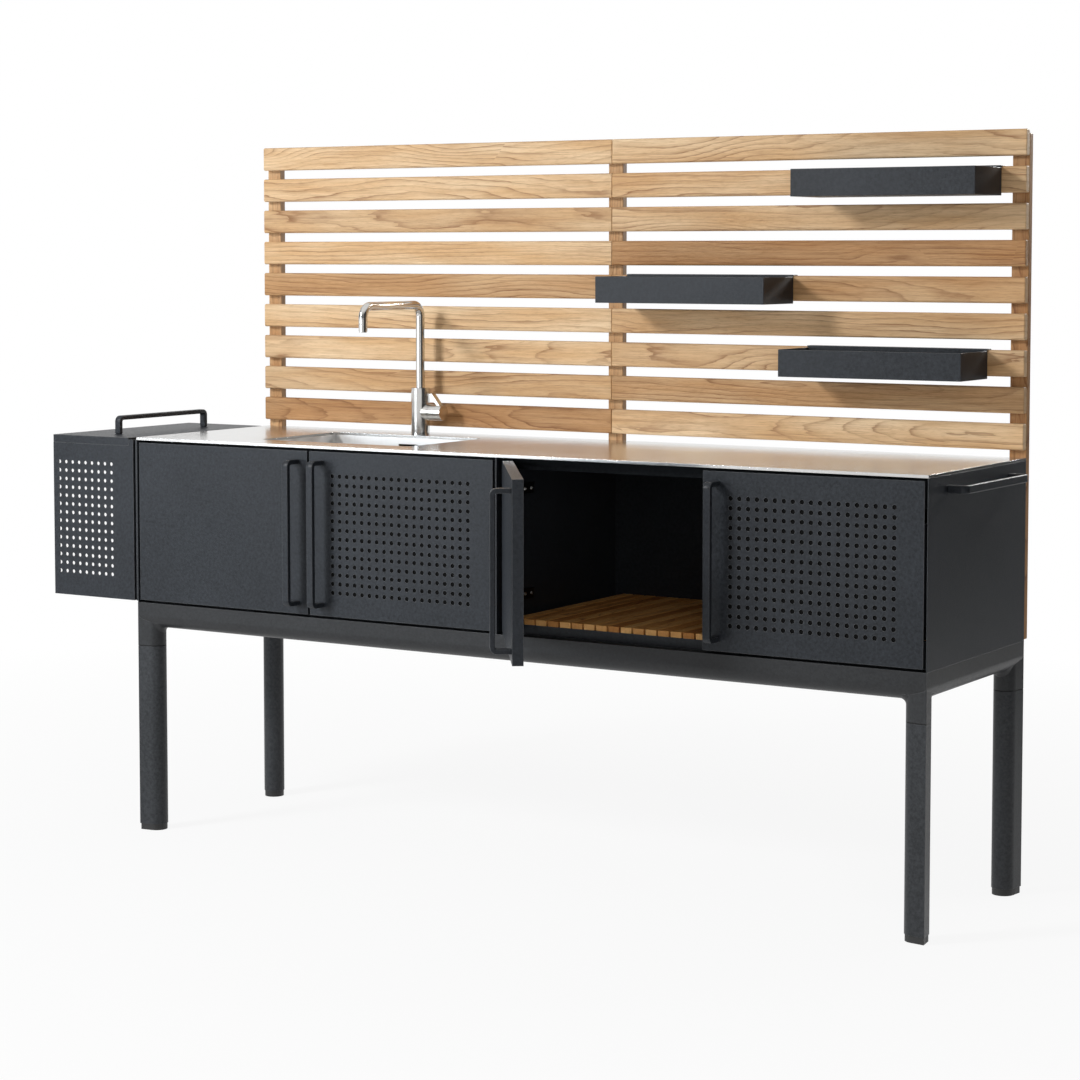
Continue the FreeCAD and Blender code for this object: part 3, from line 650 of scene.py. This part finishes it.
# Welded fillets between the leg sockets and the rails

rail_radius = 28.5 * mm
leg_radius = 24.2 * mm
leg_centre = 28 * mm
fillet_radius = 11 * mm
# Bearings round a leg are in degrees, and the diagonal points to the middle of the frame.
diagonal = 45
fillet_sweep = 230
fillet_run_out = 42
fillet_swell = 0.38
swell_reach = 75
least_share = 0.02
frame_low, frame_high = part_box("leg_sockets")


def rail_underside(x, y):
    """Height of the mitred rails' underside, from the distances inward from their corner."""
    off_axis = min(x, y) - rail_radius
    return frame_high.z - math.sqrt(max(0.0, rail_radius ** 2 - off_axis ** 2))


def fillet_share(bearing):
    """A fillet's size at a bearing: it swells towards the diagonal and dies out towards its two ends."""
    off_diagonal = bearing - diagonal
    from_end = fillet_sweep / 2 - abs(off_diagonal)
    share = min(1.0, max(least_share, from_end / fillet_run_out))
    share = share * share * (3 - 2 * share)
    swell = math.cos(math.radians(90 / swell_reach * off_diagonal))
    return share * (1 + fillet_swell * max(0.0, swell))


def leg_fillets():
    """Concave fillets round the inside of each leg, dying out towards its two outer faces."""
    mesh = bmesh.new()
    # Its roots lie a little inside the leg and the rails.
    inside = -1.5 * mm
    sunk = 0.3 * mm
    arc = [math.radians(15 * step) for step in range(7)]
    curve = [(fillet_radius * (1 - math.cos(a)), fillet_radius * (math.sin(a) - 1)) for a in arc]
    outline = [(inside, sunk), (inside, -fillet_radius), *curve, (fillet_radius, sunk), (inside, sunk)]
    turned(mesh, [(leg_radius + out, rise) for out, rise in outline], steps=40,
           angle=math.radians(fillet_sweep), start=math.radians(diagonal - fillet_sweep / 2))
    bmesh.ops.holes_fill(mesh, edges=mesh.edges, sides=20)
    for vert in mesh.verts:
        share = fillet_share(math.degrees(math.atan2(vert.co.y, vert.co.x)))
        reach = vert.co.xy.length - leg_radius
        vert.co.xy = vert.co.xy.normalized() * (leg_radius + max(inside, reach * share))
        x, y = vert.co.x + leg_centre, vert.co.y + leg_centre
        vert.co = (x, y, rail_underside(x, y) + vert.co.z * share)
    corner = all_of(mesh)
    width, depth = frame_high.x - frame_low.x, frame_high.y - frame_low.y
    for right, rear in ((1, 0), (0, 1), (1, 1)):
        flip = Matrix.Diagonal((1 - 2 * right, 1 - 2 * rear, 1, 1))
        move = Matrix.Translation((right * width, rear * depth, 0))
        bmesh.ops.transform(mesh, matrix=move @ flip, verts=copy_of(mesh, corner))
    bmesh.ops.translate(mesh, verts=mesh.verts, vec=(frame_low.x, frame_low.y, 0))
    for face in mesh.faces:
        face.smooth = True
    finished_piece("leg_fillets", mesh, "cabinet", "coat", frame_coat)


leg_fillets()


# Small fittings

# Fittings stand this far off the face that carries them.
stand_off = 0.05 * mm


def door_hole_shade(door):
    """A thin black sheet behind a door's punched sheet, which makes its holes dark: painted shade for the
    unlit inside of the cabinet.
    """
    low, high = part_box(f"{door}_front")
    margin = 25 * mm
    front = high.y + stand_off
    back = high.y + 0.75 * mm
    mesh = bmesh.new()
    rounded_block(mesh, (low.x + margin, front, low.z + margin), (high.x - margin, back, high.z - margin),
                  width=0.2 * mm)
    finished_piece(f"{door}_hole_shade", mesh, door, "glide", hole_shade_plastic)


def hinge_screws(name, facing, places):
    """Round heads with a recess, one at each place and all facing one way."""
    radius = 4.2 * mm
    height = 2.2 * mm
    recess_radius = 0.42 * radius
    recess_floor = 0.45 * height
    mesh = bmesh.new()
    turned(mesh, [
        (0, recess_floor),
        (recess_radius, recess_floor),
        (recess_radius, height),
        (0.78 * radius, height),
        (radius, 0.5 * height),
        (radius, 0),
        (0, 0),
    ], steps=12)
    head = all_of(mesh)
    turn = Vector((0, 0, 1)).rotation_difference(Vector(facing)).to_matrix().to_4x4()
    for place in places:
        bmesh.ops.transform(mesh, matrix=Matrix.Translation(place) @ turn, verts=copy_of(mesh, head))
    bmesh.ops.delete(mesh, geom=verts_of(head), context="VERTS")
    finished_piece(name, mesh, "cabinet", "hinge_steel", screw_steel)


def hinge_bases():
    """Base plates of the concealed hinges on the modules' side walls, with two screws each."""
    lower_arm, upper_arm = 14 * mm, 17.5 * mm
    plate_start, plate_end = 0.2 * mm, 46 * mm
    plate_thickness = 2.5 * mm
    plate_half_height = 12 * mm
    screw_sunk = 0.1 * mm
    screw_places = (9 * mm, 34 * mm)
    left_screws = []
    right_screws = []
    mesh = bmesh.new()
    for module in modules:
        arms_low, arms_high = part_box(f"{module}_hinges")
        near, far = arms_high.y + plate_start, arms_high.y + plate_end
        for height in (arms_low.z + lower_arm, arms_high.z - upper_arm):
            bottom, top = height - plate_half_height, height + plate_half_height
            for wall, way, screws in ((arms_low.x, 1, left_screws), (arms_high.x, -1, right_screws)):
                left, right = sorted((wall + way * stand_off, wall + way * plate_thickness))
                rounded_block(mesh, (left, near, bottom), (right, far, top), width=1.0 * mm)
                seat = wall + way * (plate_thickness - screw_sunk)
                screws.extend((seat, near + away, height) for away in screw_places)
    finished_piece("hinge_bases", mesh, "cabinet", "hinge_steel", hinge_steel)
    hinge_screws("hinge_screws_left", (1, 0, 0), left_screws)
    hinge_screws("hinge_screws_right", (-1, 0, 0), right_screws)


def waste_fitting():
    """Flange on the bowl's floor round the waste, with a cross of bars in its mouth."""
    waste_low, waste_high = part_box("sink_waste")
    centre = (waste_low + waste_high) / 2
    bowl_sheet = 1.5 * mm
    bore = 22.5 * mm
    sleeve = 23.9 * mm
    sleeve_end = -6 * mm
    flange = 42 * mm
    flange_edge = 1.2 * mm
    bar_middle = Vector((0, 0, -3 * mm))
    bar_half_width = 1.6 * mm
    bar_half_height = 1.5 * mm
    mesh = bmesh.new()
    turned(mesh, [
        (bore, sleeve_end),
        (bore, flange_edge),
        (bore + 1.5 * mm, 2.2 * mm),
        (36 * mm, 2.0 * mm),
        (40.5 * mm, flange_edge),
        (flange, stand_off),
        (sleeve, stand_off),
        (sleeve, sleeve_end),
        (bore, sleeve_end),
    ], steps=48)
    for reach in ((bore, bar_half_width), (bar_half_width, bore)):
        bar = Vector((*reach, bar_half_height))
        rounded_block(mesh, bar_middle - bar, bar_middle + bar, width=0.8 * mm)
    bmesh.ops.translate(mesh, verts=mesh.verts, vec=(centre.x, centre.y, bowl_low.z + bowl_sheet))
    finished_piece("waste_flange", mesh, "cabinet", "stainless", tap_steel)


def spout_outlet():
    """Ring and recessed jet former in the spout's mouth."""
    spout_low, spout_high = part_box("tap_spout")
    tube_radius = 10 * mm
    mouth_drop = 65 * mm
    middle = (spout_low.x + spout_high.x) / 2
    mouth = Vector((middle, spout_low.y + tube_radius, spout_high.z - mouth_drop))
    root = 0.2 * mm
    former = -0.6 * mm
    lip = -2.8 * mm
    ring_inside, ring_outside = 6.6 * mm, 9.0 * mm
    mesh = bmesh.new()
    turned(mesh, [
        (0, root),
        (0, former),
        (5.5 * mm, former),
        (ring_inside, -0.3 * mm),
        (ring_inside, -2.4 * mm),
        (7.2 * mm, lip),
        (8.4 * mm, lip),
        (ring_outside, -2.2 * mm),
        (ring_outside, root),
        (0, root),
    ], steps=36)
    bmesh.ops.translate(mesh, verts=mesh.verts, vec=mouth)
    finished_piece("spout_outlet", mesh, "spout", "tap_steel", tap_steel)


for door in punched_doors:
    door_hole_shade(door)
hinge_bases()
waste_fitting()
spout_outlet()


# Studio: pale floor, white backdrop, soft light

white = (1.0, 1.0, 1.0, 1.0)


def show_white(tree, plain, share):
    """White to the camera, to reflections and through clear things, and the plain shader to the light."""
    path = add(tree, "LightPath").outputs
    seen = reckon(tree, "MAXIMUM", path["Is Camera Ray"], path["Is Glossy Ray"])
    seen = reckon(tree, "MAXIMUM", seen, path["Is Transmission Ray"])
    seen = reckon(tree, "MULTIPLY", seen, share)
    glow = add(tree, "Emission", {"Color": white, "Strength": 1.0}).outputs["Emission"]
    return add(tree, "MixShader", {"Fac": seen, 1: plain, 2: glow}).outputs["Shader"]


def pale_floor():
    """A wide pale floor that keeps a faint shadow and runs out into the white backdrop."""
    mesh = bmesh.new()
    bmesh.ops.create_grid(mesh, x_segments=4, y_segments=4, size=60.0)
    material = bpy.data.materials.new("pale_floor")
    material.use_nodes = True
    tree = material.node_tree
    tree.nodes.remove(tree.nodes["Principled BSDF"])
    plain = add(tree, "BsdfDiffuse", {"Color": (0.82, 0.82, 0.82, 1.0)}).outputs["BSDF"]
    place = add(tree, "TexCoord").outputs["Object"]
    away = add(tree, "VectorMath", {0: place}, operation="LENGTH").outputs["Value"]
    share = spread(tree, away, 1.0, 3.5, 0.9, 1.0)
    tree.links.new(show_white(tree, plain, share), tree.nodes["Material Output"].inputs["Surface"])
    floor = linked_piece("floor", mesh, material)


def grey_card(name, shade, width, height, turn, corner):
    """A flat grey card that only reflections see, as a studio hangs one beside shiny things."""
    mesh = bmesh.new()
    bmesh.ops.create_grid(mesh, x_segments=2, y_segments=2, size=0.5)
    bmesh.ops.scale(mesh, verts=mesh.verts, vec=(width, height, 1.0))
    bmesh.ops.translate(mesh, verts=mesh.verts, vec=(width / 2, height / 2, 0.0))
    bmesh.ops.transform(mesh, matrix=Matrix.Translation(corner) @ turn, verts=mesh.verts)
    material = bpy.data.materials.new(name)
    material.use_nodes = True
    shader = material.node_tree.nodes["Principled BSDF"]
    shader.inputs["Base Color"].default_value = (shade, shade, shade, 1.0)
    shader.inputs["Roughness"].default_value = 0.9
    card = linked_piece(name, mesh, material)
    card.visible_camera = False
    card.visible_diffuse = False
    card.visible_shadow = False


def studio_room(soft, dim, backdrop_way):
    """Soft light from all round.

    The camera sees white, and metal a white backdrop and ceiling in a dimmer room."""
    world = bpy.data.worlds.new("studio_room")
    bpy.context.scene.world = world
    world.use_nodes = True
    tree = world.node_tree
    way = add(tree, "TexCoord").outputs["Generated"]
    backdrop = spread(tree, dot(tree, way, backdrop_way), 0.45, 0.85, dim, 1.0)
    ceiling = spread(tree, axes_of(tree, way)["Z"], 0.35, 0.75, dim, 0.95)
    room = reckon(tree, "MAXIMUM", backdrop, ceiling)
    path = add(tree, "LightPath").outputs
    mirrored = reckon(tree, "MAXIMUM", path["Is Glossy Ray"], path["Is Transmission Ray"])
    level = between(tree, path["Is Camera Ray"], between(tree, mirrored, soft, room), 1.0)
    background = tree.nodes["Background"]
    tree.links.new(level, background.inputs["Strength"])
    background.inputs["Color"].default_value = white


def soft_box(name, place, target, width, height, power, tint=(1.0, 1.0, 1.0)):
    """A rectangular lamp that faces a point."""
    lamp = bpy.data.lights.new(name, "AREA")
    lamp.shape = "RECTANGLE"
    lamp.size = width
    lamp.size_y = height
    lamp.energy = power
    lamp.color = tint
    holder = bpy.data.objects.new(name, lamp)
    holder.location = place
    holder.rotation_euler = (Vector(target) - Vector(place)).to_track_quat("-Z", "Y").to_euler()
    bpy.context.scene.collection.objects.link(holder)
    return holder


def photographer():
    """The camera at the photograph's viewpoint, tilted a little down, with part of the lens's shift."""
    tilt = math.radians(3.891)
    heading = math.radians(31.827)
    lens = bpy.data.cameras.new("camera")
    lens.sensor_width = 36.0
    lens.lens = 88.096
    lens.shift_y = -0.10
    lens.clip_end = 300.0
    camera = bpy.data.objects.new("camera", lens)
    camera.location = (3.0675, -4.6655, 1.319)
    camera.rotation_euler = (math.radians(90) - tilt, 0.0, heading)
    bpy.context.scene.collection.objects.link(camera)
    bpy.context.scene.camera = camera


pale_floor()
studio_room(soft=0.27, dim=0.22, backdrop_way=(-0.527, 0.850, 0.0))
sideways = Matrix.Rotation(math.radians(90), 4, "Z") @ upright
grey_card("back_flag", shade=0.07, width=6.0, height=3.0, turn=upright, corner=(1.5, 2.6, 0.01))
grey_card("right_flag", shade=0.04, width=5.1, height=3.0, turn=sideways, corner=(2.9, -2.5, 0.01))
unit_middle = (0.0, 0.2, 0.9)
soft_box("key_light", place=(-2.6, -4.0, 3.4), target=unit_middle, width=1.0, height=1.0, power=178.0)
soft_box("window_light", place=(-2.5, -3.4, 1.3), target=unit_middle, width=1.8, height=0.9, power=42.0,
         tint=(0.84, 0.92, 1.0))
fill_light = soft_box("fill_light", place=(3.4, -5.0, 2.2), target=(0.3, 0.0, 0.7), width=2.5, height=2.0,
                      power=42.0, tint=(1.0, 0.92, 0.82))
fill_light.visible_glossy = False
rim_light = soft_box("rim_light", place=(1.35, 2.4, 2.35), target=(1.1, 0.0, 0.88), width=0.9, height=0.6,
                     power=115.0)
rim_light.visible_camera = False
rim_light.visible_diffuse = False
photographer()
bpy.context.scene.view_settings.view_transform = "Standard"
